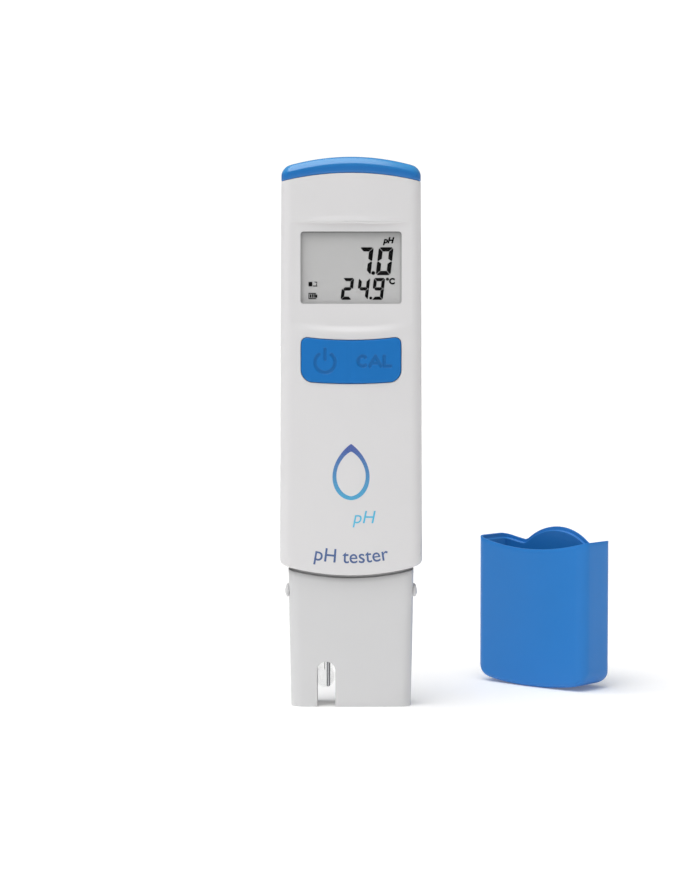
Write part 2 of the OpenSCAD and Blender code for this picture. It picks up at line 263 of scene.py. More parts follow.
# %% Paint pots
class Flow:
    """A number that flows through a shader, with ordinary arithmetic."""

    def __init__(self, pot, socket):
        self.pot = pot
        self.socket = socket

    def maths(self, operation, first, second):
        return self.pot.node("ShaderNodeMath", {"operation": operation}, {0: first, 1: second})

    def __add__(self, other):
        return self.maths("ADD", self, other)

    def __sub__(self, other):
        return self.maths("SUBTRACT", self, other)

    def __rsub__(self, other):
        return self.maths("SUBTRACT", other, self)

    def __mul__(self, other):
        return self.maths("MULTIPLY", self, other)

    __radd__ = __add__
    __rmul__ = __mul__


class Pot:
    """One material, with a single method that adds any node to it."""

    def __init__(self, name, **constants):
        self.material = bpy.data.materials.new(name)
        self.material.use_nodes = True
        self.tree = self.material.node_tree
        self.shader = self.tree.nodes["Principled BSDF"]
        for key, value in constants.items():
            self.shader.inputs[key.replace("_", " ")].default_value = value

    def node(self, kind, settings=None, sockets=None, output=0):
        made = self.tree.nodes.new(kind)
        for key, value in (settings or {}).items():
            if key == "stops":
                ramp = made.color_ramp
                for extra in value[2:]:
                    ramp.elements.new(extra[0])
                for element, (place, colour) in zip(ramp.elements, sorted(value)):
                    element.position = place
                    element.color = colour
            else:
                setattr(made, key, value)
        for key, value in (sockets or {}).items():
            if isinstance(value, Flow):
                self.tree.links.new(value.socket, made.inputs[key])
            else:
                made.inputs[key].default_value = value
        return Flow(self, made.outputs[output])

    def place(self):
        return self.node("ShaderNodeTexCoord", output="Object")

    def axis(self, number):
        """One object coordinate, in metres: 0 is across and 2 is up."""
        return self.node("ShaderNodeSeparateXYZ", None, {"Vector": self.place()}, output=number)

    def fade(self, value, start_mm, stop_mm, first, last):
        """A soft step along a coordinate, from first at the start to last."""
        return self.node("ShaderNodeMapRange", {"interpolation_type": "SMOOTHSTEP"}, {
            "Value": value, "From Min": start_mm * MM, "From Max": stop_mm * MM,
            "To Min": first, "To Max": last})

    def noise(self, size_mm, detail=2.0, where=None):
        """Noise whose grains are about this many millimetres across."""
        return self.node("ShaderNodeTexNoise", None, {
            "Vector": where or self.place(), "Scale": 1 / (size_mm * MM), "Detail": detail})

    def blend(self, mask, first, second):
        return self.node("ShaderNodeMix", {"data_type": "RGBA"},
                         {0: mask, 6: first, 7: second}, output=2)

    def feed(self, socket, value):
        self.tree.links.new(value.socket, self.shader.inputs[socket])

    def bump(self, height, strength, distance_mm):
        self.feed("Normal", self.node("ShaderNodeBump", None, {
            "Height": height, "Strength": strength, "Distance": distance_mm * MM}))


def shade(red, green, blue):
    """A colour given as it looks on a screen, from 0 to 255, for a shader."""
    def linear(value):
        value = value / 255
        return value / 12.92 if value <= 0.04045 else ((value + 0.055) / 1.055) ** 2.4
    return (linear(red), linear(green), linear(blue), 1.0)


def tone(colour, factor):
    return tuple(min(1.0, channel * factor) for channel in colour[:3]) + (1.0,)


# %% [markdown]
# ## Finishes
#
# Injection-moulded plastic isn't one flat colour. It has a fine spark-eroded
# grain, a slow drift in tone where the melt flowed, and gloss that varies a
# little. One recipe makes all the moulded plastics and rubbers from a colour,
# a roughness and a grain size. A painted highlight makes the trim lighter
# towards its top, and painted shade makes the sleeve darker close under the housing.

# %% Moulded plastics and rubbers
def moulded(name, colour, roughness, grain_mm=0.16, grain=0.12, drift=0.03, painted_shading_band=None, **constants):
    """Moulded plastic. A painted shading band is a second colour, mixed in along an arched line, as
    a painted highlight or painted shade.

    It holds the colour, the line's height in the middle, how far the line rises
    towards a side, the distance over which the colour comes in, and its share."""
    pot = Pot(name, Roughness=roughness, **constants)
    slow = pot.noise(14, 1)
    fine = pot.noise(grain_mm, 3)
    base = pot.blend(slow, tone(colour, 1 - drift), tone(colour, 1 + drift))
    # The band paints light or shade into the colour: a painted highlight or painted shade along an
    # arched line.
    if painted_shading_band:
        other, middle, rise, reach, share = painted_shading_band
        across = pot.axis(0)
        level = pot.axis(2) - across * across * (rise / (HALF_WIDTH ** 2 * MM))
        base = pot.blend(pot.fade(level, middle - reach, middle, 0.0, share), base, other)
    pot.feed("Base Color", base)
    pot.feed("Roughness", fine * 0.14 + (roughness - 0.07))
    pot.bump(fine, grain, 0.03)
    return pot.material


shell_white = moulded("shell_white", shade(219, 218, 219), 0.42, drift=0.012)
# Painted shade: the sleeve's colour darkens close under the housing's bottom edge, following its
# arc.
sleeve_grey = moulded("sleeve_grey", shade(210, 210, 211), 0.38, drift=0.012, painted_shading_band=(
    shade(70, 70, 72), LOW_EDGE, LOW_EDGE_RISE, 2.6, 0.5))
# Painted highlight: the trim's colour is lighter towards its top, along the arched line.
trim_blue = moulded("trim_blue", shade(0, 108, 184), 0.24, grain=0.015, Specular_IOR_Level=0.6,
                    painted_shading_band=(shade(60, 152, 212), 156.1, -2.8, 2.2, 0.75))
key_blue = moulded("key_blue", shade(2, 110, 186), 0.48, grain_mm=0.22, grain=0.16)
cap_blue = moulded("cap_blue", shade(38, 124, 202), 0.38, drift=0.02, Specular_IOR_Level=0.3)
frame_white = moulded("frame_white", shade(226, 226, 222), 0.45)
potting_white = moulded("potting_white", shade(224, 224, 221), 0.5, grain_mm=0.5)
seal_black = moulded("seal_black", shade(26, 26, 27), 0.55, grain_mm=0.3)
carbon_black = moulded("carbon_black", shade(22, 22, 22), 0.7, grain_mm=0.1, grain=0.3)
chip_black = moulded("chip_black", shade(34, 34, 36), 0.5, grain_mm=0.1, grain=0.2)
ceramic_tan = moulded("ceramic_tan", shade(190, 160, 115), 0.4)
lead_red = moulded("lead_red", shade(186, 44, 38), 0.4)

# %% [markdown]
# Metals differ from plastics in that their colour lives in the reflection, so
# Metallic is 1 and the roughness carries the surface. Turned and drawn metal
# has fine lines along one direction, which stretched noise gives.

# %% Metals
def drawn_metal(name, colour, roughness, stretch=(30, 30, 1)):
    pot = Pot(name, Metallic=1.0, Roughness=roughness)
    lines = pot.node("ShaderNodeMapping", None, {"Vector": pot.place(), "Scale": stretch})
    streak = pot.noise(4, 2, lines)
    pot.feed("Base Color", pot.blend(streak, tone(colour, 0.9), tone(colour, 1.06)))
    pot.feed("Roughness", streak * 0.16 + (roughness - 0.08))
    return pot.material


needle_steel = drawn_metal("needle_steel", shade(176, 177, 180), 0.26)
cell_steel = drawn_metal("cell_steel", shade(200, 200, 204), 0.3, (1, 30, 30))
contact_brass = drawn_metal("contact_brass", shade(214, 200, 160), 0.3, (1, 30, 30))
wire_silver = drawn_metal("wire_silver", shade(190, 188, 184), 0.35)

# %% [markdown]
# The circuit board is green lacquer over copper tracks. A brick pattern with
# thin mortar lines looks enough like tracks, and the bump raises them. The
# junction cloth is a plain weave: two waves at right angles.

# %% Circuit board, junction cloth and clear parts
def board_lacquer():
    pot = Pot("board_lacquer", Roughness=0.3, Coat_Weight=0.3)
    upright = pot.node("ShaderNodeMapping", None, {
        "Vector": pot.place(), "Rotation": (math.radians(90), 0, 0)})
    tracks = pot.node("ShaderNodeTexBrick", None, {
        "Vector": upright, "Scale": 160.0, "Mortar Size": 0.03,
        "Color1": (0, 0, 0, 1), "Color2": (0, 0, 0, 1), "Mortar": (1, 1, 1, 1)})
    pot.feed("Base Color", pot.blend(tracks, shade(20, 92, 58), shade(60, 140, 84)))
    pot.bump(tracks, 0.4, 0.03)
    return pot.material


def junction_weave():
    pot = Pot("junction_weave", Roughness=0.8)
    across = pot.node("ShaderNodeTexWave", {"bands_direction": "X"},
                      {"Vector": pot.place(), "Scale": 900.0})
    along = pot.node("ShaderNodeTexWave", {"bands_direction": "Z"},
                     {"Vector": pot.place(), "Scale": 900.0})
    weave = across * along
    pot.feed("Base Color", pot.blend(weave, shade(206, 200, 184), shade(240, 236, 224)))
    pot.bump(weave, 0.5, 0.06)
    return pot.material


def clear(name, alpha, roughness, colour=(0.94, 0.96, 0.97, 1)):
    """A clear part that lets the light straight through, with a gloss on top."""
    pot = Pot(name, Roughness=roughness, Base_Color=colour)
    haze = pot.noise(9, 1)
    pot.feed("Alpha", haze * (alpha * 0.3) + alpha * 0.85)
    return pot.material


board_green = board_lacquer()
junction_cloth_white = junction_weave()
pane_clear = clear("pane_clear", 0.03, 0.05, (0.05, 0.05, 0.05, 1))
glass_clear = clear("glass_clear", 0.08, 0.04)


def lcd_face():
    """Grey liquid-crystal film with a fine grain, and painted shadow of the window's rim.

    The painted shadow is darkest along the top and lighter along the sides."""
    pot = Pot("lcd_film", Roughness=0.42)
    grain = pot.noise(0.25, 2)
    grey = pot.blend(grain, shade(196, 196, 196), shade(204, 204, 204))
    # Painted shadow of the window's rim: the axis, the edge, how far in it reaches, and how dark it
    # is at the edge.
    for axis, edge, reach, depth in ((2, WINDOW_HIGH, -2.4, 0.34), (2, WINDOW_HIGH, -0.7, 0.62),
                                     (0, -OPENING_HALF, 1.2, 0.22), (0, OPENING_HALF, -0.8, 0.25)):
        shadow = pot.fade(pot.axis(axis), edge, edge + reach, depth, 0.0)
        grey = pot.blend(shadow, grey, shade(46, 48, 50))
    pot.feed("Base Color", grey)
    pot.feed("Roughness", grain * 0.1 + 0.36)
    return pot.material


lcd_grey = lcd_face()
segment_black = moulded("segment_black", shade(4, 4, 5), 0.8, grain=0.02, Specular_IOR_Level=0.1)
print("finishes:", len(bpy.data.materials))

# %% [markdown]
# ## Round the body
#
# A cut through the body is a rounded rectangle with slightly crowned front and
# back. It is walked in stations: up the side, round the corner, and across the
# front. The same stations serve the shells, the trim, the sleeve and the cap,
# so their lines agree. A fixed part in the middle keeps its distances from the
# centre, because the openings lie there.

# %% Stations round half an outline
FRONT_END = 17.1         # nominal end of the crowned front, in mm from the centre


def half_round(front_places, side_places=(0, 0.05, 0.4, 0.75)):
    """Stations from the left parting line, round the front, to the right one."""
    corner = [("corner", math.radians(a)) for a in (90, 80, 70, 60, 50, 40, 30, 20, 11)]
    sides = [("side", t) for t in side_places] + corner
    middle = [(1 if x >= 0 else -1, "front", x) for x in front_places]
    return [(-1, *s) for s in sides] + middle + [(1, *s) for s in reversed(sides)]


def on_outline(station, width, depth, radius, crown=CROWN_RADIUS, fixed=None):
    """The place of a station: x, and how far it lies in front of the middle."""
    sign, kind, value = station
    lean = math.asin(max(0.0, width - radius) / crown)
    reach = width - radius + radius * math.sin(lean)
    centre = depth - reach * reach / (2 * crown) - radius * math.cos(lean)
    if kind == "side":
        return sign * width, centre * value
    if kind == "corner":
        angle = max(value, lean)
        return (sign * (width - radius + radius * math.sin(angle)),
                centre + radius * math.cos(angle))
    x = abs(value)
    if fixed and x > fixed:
        x = mix(fixed, reach, (x - fixed) / (FRONT_END - fixed))
    elif not fixed:
        x *= reach / FRONT_END
    return sign * x, depth - x * x / (2 * crown)


def mirrored(places):
    """Places on both sides of the centre, in order."""
    return [-p for p in reversed(places) if p > 0] + list(places)


def along(table, z):
    """Reads a value from a short table of (height, value) by straight lines."""
    for (z0, v0), (z1, v1) in zip(table, table[1:]):
        if z <= z1:
            return mix(v0, v1, min(max((z - z0) / (z1 - z0), 0.0), 1.0))
    return table[-1][1]


# %% [markdown]
# ## The front shell
#
# The front has four features that catch the light: a smiling step below the
# display, a flat field around the display, a low brow above it, and the openings
# for the display and the keys. All the lines across the body are arcs, so each
# row of the grid has a bend, which is how far it rises towards the sides.

# %% Lines across the front
KEYS_LOW, KEYS_HIGH = 92.6, 105.2
SMILE_LOW, SMILE_HIGH = 107.1, 109.3
FIELD_TOP, RIDGE, BROW = 138.2, 138.8, 140.7
FIELD_DEPTH = 0.78       # how deep the flat field lies in the middle
RIDGE_HEIGHT, RIDGE_HALF = 0.4, 16
LIP_HEIGHT = 0.3         # the swell along the foot of the smiling step
WALL = 1.8
RIM_ROUND = 0.2          # radius of a shell's moulded rims
PARTING_GROOVE = 0.12    # the hair-wide line between the two shells

BENDS = ((LOW_EDGE, LOW_EDGE_RISE), (KEYS_LOW, 1.33), (KEYS_HIGH, 2.02), (SMILE_LOW, 2.07),
         (SMILE_HIGH, 2.07), (WINDOW_LOW, 0), (WINDOW_HIGH, 0), (FIELD_TOP, 0), (RIDGE, -0.3),
         (BROW, -2.75), (SEAM, -SEAM_FALL))
BEND_REACH = ((LOW_EDGE, HALF_WIDTH), (60, 16.2), (146, 16.2), (SEAM, HALF_WIDTH))


def bent(x, z):
    """The height of a point of the row z at x."""
    reach = min(abs(x), along(BEND_REACH, z))
    return z + along(BENDS, z) * (reach / HALF_WIDTH) ** 2


def field_offset(x, z):
    """How far the front lies behind the crown, at a point of the row z."""
    crown = x * x / (2 * CROWN_RADIUS)
    deep = max(0.0, FIELD_DEPTH - crown)
    if z <= SMILE_HIGH:
        up = smooth((z - SMILE_LOW) / (SMILE_HIGH - SMILE_LOW))
        lip = smooth((z - KEYS_HIGH) / (SMILE_LOW - KEYS_HIGH)) * (1 - up)
        return deep * (up - lip * LIP_HEIGHT / FIELD_DEPTH)
    if z <= FIELD_TOP:
        return deep
    ridge = -RIDGE_HEIGHT * max(0.0, 1 - (x / RIDGE_HALF) ** 2)
    if z <= RIDGE:
        return mix(deep, ridge, smooth((z - FIELD_TOP) / (RIDGE - FIELD_TOP)))
    return ridge * (1 - smooth((z - RIDGE) / (BROW - RIDGE)))


# %% Rows and columns of the front shell
edge_rows = [LOW_EDGE + h for h in (0, 0.03, 0.1, 0.22, 0.38, 0.56, 0.8, 1.1, 1.45, 2.2)]
front_rows = (
    edge_rows + steps(LOW_EDGE + 3.4, 88, 3.2) + steps(88, KEYS_LOW, 0.6)
    + steps(KEYS_LOW, 95.4, 0.31) + steps(95.4, 103.7, 1.4) + steps(103.7, KEYS_HIGH, 0.25)
    + steps(KEYS_HIGH, SMILE_LOW, 0.36) + steps(SMILE_LOW, SMILE_HIGH, 0.24)
    + steps(SMILE_HIGH, 113, 0.8) + steps(113, WINDOW_LOW, 0.4)
    + steps(WINDOW_LOW, 116.25, 0.18) + steps(116.25, 134.95, 1.6)
    + steps(134.95, WINDOW_HIGH, 0.18) + steps(WINDOW_HIGH, FIELD_TOP, 0.39)
    + steps(FIELD_TOP, RIDGE, 0.1) + steps(RIDGE, BROW, 0.24) + steps(BROW, SEAM, 1.3) + [SEAM]
)
front_places = (steps(0, 11.55, 1.05) + steps(11.55, 13.45, 0.32) + steps(13.45, OPENING_HALF, 0.18)
                + steps(OPENING_HALF, FRONT_END, 0.3) + [FRONT_END])
front_stations = half_round(mirrored(front_places))
window_hole = (-OPENING_HALF, OPENING_HALF, WINDOW_LOW, WINDOW_HIGH)
keys_hole = (-OPENING_HALF, OPENING_HALF, KEYS_LOW, KEYS_HIGH)


def shell_point(station, row, fixed):
    """Where a station lies on the body at a row, before anything is cut."""
    height = row - LOW_EDGE
    x, y = on_outline(station, half_width(row) - quarter(height, 1.45),
                      HALF_DEPTH - quarter(height, 0.7), EDGE_RADIUS, fixed=fixed)
    if station[1:] == ("side", 0):
        x *= 1 - PARTING_GROOVE / HALF_WIDTH
    return x, y


def front_point(column, row):
    z = front_rows[row]
    x, y = shell_point(front_stations[column], z, OPENING_HALF)
    if front_stations[column][1] == "front" and z > 80:
        for hole, radii in ((window_hole, (0.9, 0.9)), (keys_hole, (3.3, 2.1))):
            x, z = round_corner(x, z, hole, radii, 2.0)
        y = HALF_DEPTH - x * x / (2 * CROWN_RADIUS) - field_offset(x, z)
    return Vector((x, -y, bent(x, z)))


def nearest(values, wanted):
    return min(range(len(values)), key=lambda k: abs(values[k] - wanted))


def open_hole(shell, stations, rows, hole):
    """Cuts out the faces inside a box, which is (left, right, bottom, top)."""
    across = [s[2] if s[1] == "front" else s[0] * 99 for s in stations]
    lines = [nearest(values, edge) for values, edge in zip((across, across, rows, rows), hole)]
    print("opening of", cut_out(shell, *lines), "faces up to", round(hole[3], 2), "mm")


shell = sheet(len(front_stations), len(front_rows), front_point)
open_hole(shell, front_stations, front_rows, window_hole)
open_hole(shell, front_stations, front_rows, keys_hole)
give_wall(shell, WALL)
soften(shell, RIM_ROUND)
hand_over(shell, "front_shell", "housing", shell_white, ["front_housing"])

# %% [markdown]
# ## The rear shell
#
# The back has the same outline, a round opening for the battery cover and a
# notch at the foot, which the cap's thumb tab slides into. A full circle is cut
# in the same way as a rounded corner: the four corners of a square each get a
# radius of half its side.

# %% Rear shell
COVER_HOLE = 13.8
cover_z = (cover_low.z + cover_high.z) / 2
NOTCH_CENTRE, NOTCH_RADIUS = 26.5, 17.3
rear_rows = (
    edge_rows + steps(LOW_EDGE + 3.4, cover_z - COVER_HOLE - 3, 2.4)
    + steps(cover_z - COVER_HOLE - 3, cover_z - COVER_HOLE, 0.6)
    + steps(cover_z - COVER_HOLE, cover_z + COVER_HOLE, 1.15)
    + steps(cover_z + COVER_HOLE, cover_z + COVER_HOLE + 3, 0.6)
    + steps(cover_z + COVER_HOLE + 3, SEAM, 2.4) + [SEAM]
)
rear_places = steps(0, COVER_HOLE, 1.15) + steps(COVER_HOLE, FRONT_END, 0.5) + [FRONT_END]
rear_stations = half_round(mirrored(rear_places))
cover_hole = (-COVER_HOLE, COVER_HOLE, cover_z - COVER_HOLE, cover_z + COVER_HOLE)
REAR_BENDS = ((LOW_EDGE, LOW_EDGE_RISE), (75, 0), (115, 0), (SEAM, -SEAM_FALL))


def rear_point(column, row):
    z = rear_rows[row]
    x, y = shell_point(rear_stations[column], z, COVER_HOLE)
    if rear_stations[column][1] == "front" and z > 70:
        x, z = round_corner(x, z, cover_hole, (COVER_HOLE, COVER_HOLE), 3.0)
        y = HALF_DEPTH - x * x / (2 * CROWN_RADIUS)
    place = z + along(REAR_BENDS, z) * (x / HALF_WIDTH) ** 2
    if rear_stations[column][1] == "front" and abs(x) < NOTCH_RADIUS:
        notch = NOTCH_CENTRE + math.sqrt(NOTCH_RADIUS ** 2 - x * x)
        edge = LOW_EDGE + LOW_EDGE_RISE * (x / HALF_WIDTH) ** 2
        place += max(0.0, notch - edge) * (1 - smooth((z - LOW_EDGE - 1.5) / 16))
    return Vector((x, y, place))


shell = sheet(len(rear_stations), len(rear_rows), rear_point)
open_hole(shell, rear_stations, rear_rows, cover_hole)
give_wall(shell, WALL)
soften(shell, RIM_ROUND)


def lathe(profile, height, count=96):
    """Spins a closed profile of (radius, place along Y) round an axis along Y."""
    bm = bmesh.new()
    bmesh.ops.create_circle(bm, segments=len(profile), radius=1, cap_ends=False)
    for v, (radius, y) in zip(bm.verts, profile):
        v.co = Vector((radius, y, height))
    bmesh.ops.spin(bm, geom=bm.verts[:] + bm.edges[:], cent=(0, 0, height),
                   axis=(0, 1, 0), angle=math.tau, steps=count, use_merge=True)
    bmesh.ops.remove_doubles(bm, verts=bm.verts[:], dist=1e-4)
    bmesh.ops.recalc_face_normals(bm, faces=bm.faces[:])
    return bm


# The ring that the battery cover's seal rests on
SEAT_INNER, SEAT_OUTER, SEAT_FRONT, SEAT_BACK = 12.2, 14.3, 4.6, 7.1
seat = lathe([(SEAT_INNER, SEAT_FRONT), (SEAT_OUTER, SEAT_FRONT), (SEAT_OUTER, SEAT_BACK),
              (SEAT_INNER, SEAT_BACK)], cover_z)
soften(seat, 0.15)
join(shell, seat)
hand_over(shell, "rear_shell", "housing", shell_white, ["rear_housing"])

# %% [markdown]
# ## Closed rings: the trim, the sleeve and the cap
#
# These three go all the way round. The grid then wraps round once, and its
# first and last columns are merged. A closed end is made by drawing the rows in
# until the front meets the back on one line.

# %% A grid that wraps round
def full_round(front_places, side_places=(0, 0.5)):
    """Stations all the way round: (side of the body, station)."""
    half = half_round(front_places, side_places)
    return [(-1, s) for s in half[:-1]] + [(1, s) for s in reversed(half[1:])] + [(-1, half[0])]


def wrapped(stations, rows, place):
    """A ring whose points are place(half, station, row), merged where it meets."""
    bm = sheet(len(stations), len(rows), lambda c, r: place(*stations[c], rows[r]))
    bmesh.ops.remove_doubles(bm, verts=bm.verts[:], dist=2e-4)
    bmesh.ops.dissolve_degenerate(bm, edges=bm.edges[:], dist=2e-4)
    return bm


def side_share(station):
    """0 on the front, 1 on a side, and a soft step between them."""
    return {"front": 0.0, "side": 1.0}.get(station[1], smooth(station[2] / math.radians(90)))


ring_places = mirrored(steps(0, FRONT_END, 1.1) + [FRONT_END])
ring_stations = full_round(ring_places)

# %% [markdown]
# The trim closes the body like a lid. It is glossier than the rest, and the
# soft fillet along its top edge draws the bright line, which a painted highlight
# in its colour widens. Each row says how high it is, as a part of the way from
# the joint to the top, how far it is drawn in, and how far down the fillet it lies.

# %% Top trim
# The roll along the front edge: how far in, and how far below the top
ROLL = ((0, 2.2), (0.02, 2.05), (0.08, 1.9), (0.18, 1.75), (0.32, 1.58), (0.62, 1.15),
        (0.95, 0.7), (1.2, 0.42), (1.55, 0.2), (2.0, 0.07), (2.6, 0))
TRIM_ROLL = ROLL[-1][0]
TRIM_CORNER = 2.4        # at the two ends
TRIM_WALL = 1.5
lip_rows = [("lip", 147.7, 2.0), ("lip", 150.0, 2.0), ("lip", 152.7, 2.0),
            ("edge", 0.04, 0.28), ("edge", 0.09, 0.1), ("edge", 0.2, 0.02), ("edge", 0.35, 0.0),
            ("edge", 0.8, 0.0)]
lip_rows += [("round", math.radians(9 * k), k) for k in range(len(ROLL))]
lip_rows += [("top", 0.0, k) for k in (0.8, 1.8, 2.7, 3.8, 4.8, HALF_DEPTH - TRIM_ROLL)]


def trim_point(half, station, row):
    kind, value, inset = row
    sideness = side_share(station)
    across, deep = inset, inset
    if kind == "round":
        across = TRIM_CORNER * (1 - math.cos(value))
        deep = ROLL[inset][0]
    elif kind == "top":
        across, deep = TRIM_CORNER + inset, TRIM_ROLL + inset
    depth = max(HALF_DEPTH - deep, 0.0)
    radius = max(EDGE_RADIUS - max(across, deep), 0.05)
    if kind == "round":
        radius = EDGE_RADIUS - 2.2 * (1 - math.cos(value))
    elif kind == "top":
        radius = max(0.02, 1.2 * (1 - inset / (HALF_DEPTH - TRIM_ROLL)))
    x, y = on_outline(station, half_width(SEAM) - across, depth, min(radius, depth + 0.01))
    if depth < 0.02:
        y = 0
    seam = SEAM - SEAM_FALL * (x / HALF_WIDTH) ** 2
    top = TOP - TOP_FALL * (x / TOP_HALF_WIDTH) ** 2
    if kind == "lip":
        z = value - SEAM_FALL * (x / HALF_WIDTH) ** 2
    elif kind == "edge":
        z = mix(seam, top - mix(ROLL[0][1], TRIM_CORNER, sideness), value)
    elif kind == "round":
        z = top - mix(ROLL[inset][1], TRIM_CORNER * (1 - math.sin(value)), sideness)
    else:
        z = top
    return Vector((x, half * max(y, 0.0), z))


trim = wrapped(ring_stations, lip_rows, trim_point)
give_wall(trim, TRIM_WALL)
hand_over(trim, "top_trim_moulding", "housing", trim_blue, ["top_trim"])

# %% [markdown]
# ## The probe sleeve
#
# The sleeve is a thin-walled tube of the same family of shapes. Water reaches
# the sensor through an arched slot, open at the foot, in the front and the
# back. Two small bumps on each side click into the cap. An arch is a slot whose
# two top corners have a radius of half its width.

# %% Sleeve
SLOT_X, SLOT_HALF, SLOT_TOP = -7.1, 2.6, 13.0
SLEEVE_WALL = 1.6
SLEEVE_FOOT_HALF = 17.2
BUMP_RADIUS, BUMP_Z = 1.65, 33
GROOVE = LOW_EDGE - 1.0      # a shallow groove under the shell's edge
slot_box = (SLOT_X - SLOT_HALF, SLOT_X + SLOT_HALF, -20, SLOT_TOP)
sleeve_places = (steps(-FRONT_END, -13, 1.0) + steps(-13, SLOT_X - SLOT_HALF, 0.5)
                 + steps(SLOT_X - SLOT_HALF, SLOT_X + SLOT_HALF, 0.26)
                 + steps(SLOT_X + SLOT_HALF, -1, 0.5) + steps(-1, FRONT_END, 1.2) + [FRONT_END])
sleeve_stations = full_round(sleeve_places)
sleeve_rows = ([0, 0.4, 1.0] + steps(2, SLOT_TOP - SLOT_HALF, 1.4)
               + steps(SLOT_TOP - SLOT_HALF, SLOT_TOP, 0.26) + steps(SLOT_TOP, 15.4, 0.4)
               + steps(15.4, 33, 3) + steps(33, GROOVE, 1) + steps(GROOVE, GROOVE + 0.4, 0.1)
               + [GROOVE + 0.4, GROOVE + 2, 42, 46, 52, sleeve_high.z])


def sleeve_point(half, station, z):
    half_wide = mix(SLEEVE_FOOT_HALF, sleeve_high.x, z / sleeve_high.z)
    depth = -sleeve_low.y
    sunk = 0.55 * smooth((z - GROOVE) / 0.4)
    x, y = on_outline(station, half_wide - sunk, depth - sunk, 3.2, 280, fixed=13)
    if station[1] == "front" and x < -2:
        x, z = round_corner(x, z, slot_box, (0, SLOT_HALF), 2.0)
        y = depth - sunk - x * x / 560
    rise = LOW_EDGE_RISE * (x / HALF_WIDTH) ** 2
    return Vector((x, half * y, z + rise * smooth((z - 26) / 9)))


def in_slot(face):
    """True for a face inside the arched slot's outline."""
    middle = face.calc_center_median()
    x, z = middle.x - SLOT_X, middle.z - SLOT_TOP + SLOT_HALF
    return (abs(middle.y) > 5 and middle.z < SLOT_TOP and abs(x) < SLOT_HALF
            and (z < 0 or math.hypot(x, z) < SLOT_HALF))


sleeve = wrapped(sleeve_stations, sleeve_rows, sleeve_point)
slot_faces = [f for f in sleeve.faces if in_slot(f)]
bmesh.ops.delete(sleeve, geom=slot_faces, context="FACES")
print("slot faces cut:", len(slot_faces))
give_wall(sleeve, SLEEVE_WALL)
soften(sleeve, 0.22)
for side in (-1, 1):
    for y in (-2.5, 2.5):
        bump = bmesh.new()
        bmesh.ops.create_icosphere(bump, subdivisions=4, radius=BUMP_RADIUS)
        bmesh.ops.scale(bump, vec=(0.45, 1, 1), verts=bump.verts[:])
        bmesh.ops.translate(bump, vec=(side * (sleeve_high.x - 0.25), y, BUMP_Z),
                            verts=bump.verts[:])
        join(sleeve, bump)
hand_over(sleeve, "sleeve_moulding", "housing", sleeve_grey, ["probe_sleeve"])

# %% [markdown]
# ## The cap
#
# The cap has the body's plan. Its base is an arc with rounded corners, its rim
# an arc the other way, and the back wall rises to a round thumb tab. A step
# just inside the rim takes the sleeve's shoulder. The cap is shaped upright at
# the origin, and then turned and moved to where it stands.

# %% Cap
CAP_TURN = -41           # degrees round the vertical
CAP_WALL = 1.6
CAP_HALF_WIDTH = 20.2
CAP_BASE_ARC, CAP_RIM_ARC = 100.0, 72.0
CAP_RIM_MIDDLE = 41.7
CAP_FILLET, CAP_CORNER = 1.7, 4.2
STEP_IN, STEP_DEEP = 0.75, 1.1
TAB_CENTRE, TAB_RADIUS = 30.4, 17.0
cap_middle = (cap_low + cap_high) / 2
cap_stations = full_round(mirrored(steps(0, 10, 1.0) + steps(10, 13, 0.5)
                                   + steps(13, FRONT_END, 1.0) + [FRONT_END]))
cap_rows = [("base", k) for k in (HALF_DEPTH, 7.0, 5.6, 4.0, 2.6)]
cap_rows += [("round", math.radians(a)) for a in range(90, -1, -9)]
cap_rows += [("wall", t) for t in (0.12, 0.25, 0.4, 0.55, 0.7, 0.82, 0.91, 0.97)]
cap_rows += [("rim", 0.0, -0.22), ("rim", 0.06, -0.06), ("rim", 0.2, 0.0),
             ("rim", STEP_IN - 0.15, 0.0), ("rim", STEP_IN - 0.04, -0.04),
             ("rim", STEP_IN, -0.18), ("rim", STEP_IN, 0.1 - STEP_DEEP),
             ("rim", STEP_IN + 0.1, -STEP_DEEP), ("rim", CAP_WALL - 0.15, -STEP_DEEP),
             ("rim", CAP_WALL, -STEP_DEEP - 0.15), ("inner", 0.7), ("inner", 0.4),
             ("inner", 0.15), ("inner", 0.03), ("floor", 0.6), ("floor", 2.4), ("floor", 4.4),
             ("floor", HALF_DEPTH - CAP_WALL)]


def cap_rim(half, station, x):
    """The height of the rim: an arc, with the thumb tab on the back."""
    arc = CAP_RIM_MIDDLE + CAP_RIM_ARC - math.sqrt(CAP_RIM_ARC ** 2 - x * x)
    if half > 0 and station[1] == "front" and abs(x) < TAB_RADIUS - 0.5:
        tab = TAB_CENTRE + math.sqrt(TAB_RADIUS ** 2 - x * x)
        high, low = max(arc, tab), min(arc, tab)
        blend = max(0.0, 1.2 - (high - low))
        return high + blend * blend / 4.8
    return arc


